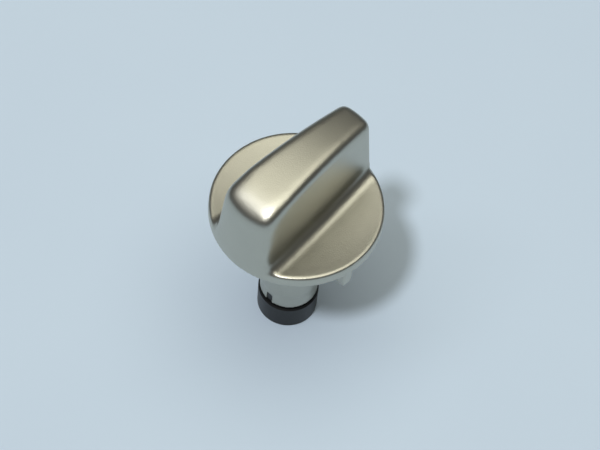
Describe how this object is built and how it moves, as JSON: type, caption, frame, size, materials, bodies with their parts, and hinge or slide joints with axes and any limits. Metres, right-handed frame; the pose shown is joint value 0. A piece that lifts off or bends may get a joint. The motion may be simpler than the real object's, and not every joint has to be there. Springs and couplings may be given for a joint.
{
  "type": "control knob",
  "caption": "Push-on control knob with a round dished disc, a tall tapered grip across it and a long tubular stem on a black shaft bush.",
  "frame": {"origin": "on the shaft axis, in the plane of the collar's foot, where the knob stands", "axes": "+Z along the shaft axis from the collar to the grip, +Y from the axis towards the narrow end of the grip, +X towards the stop finger"},
  "size_m": [0.0422, 0.0422, 0.0668],
  "materials": {
    "body_silver": "satin silver",
    "bush_black": "moulded black nylon",
    "spring_steel": "bright spring strip"
  },
  "bodies": {
    "root": {"knob_body": "body_silver", "shaft_bush": "bush_black", "shaft_spring": "spring_steel"}
  },
  "joints": []
}
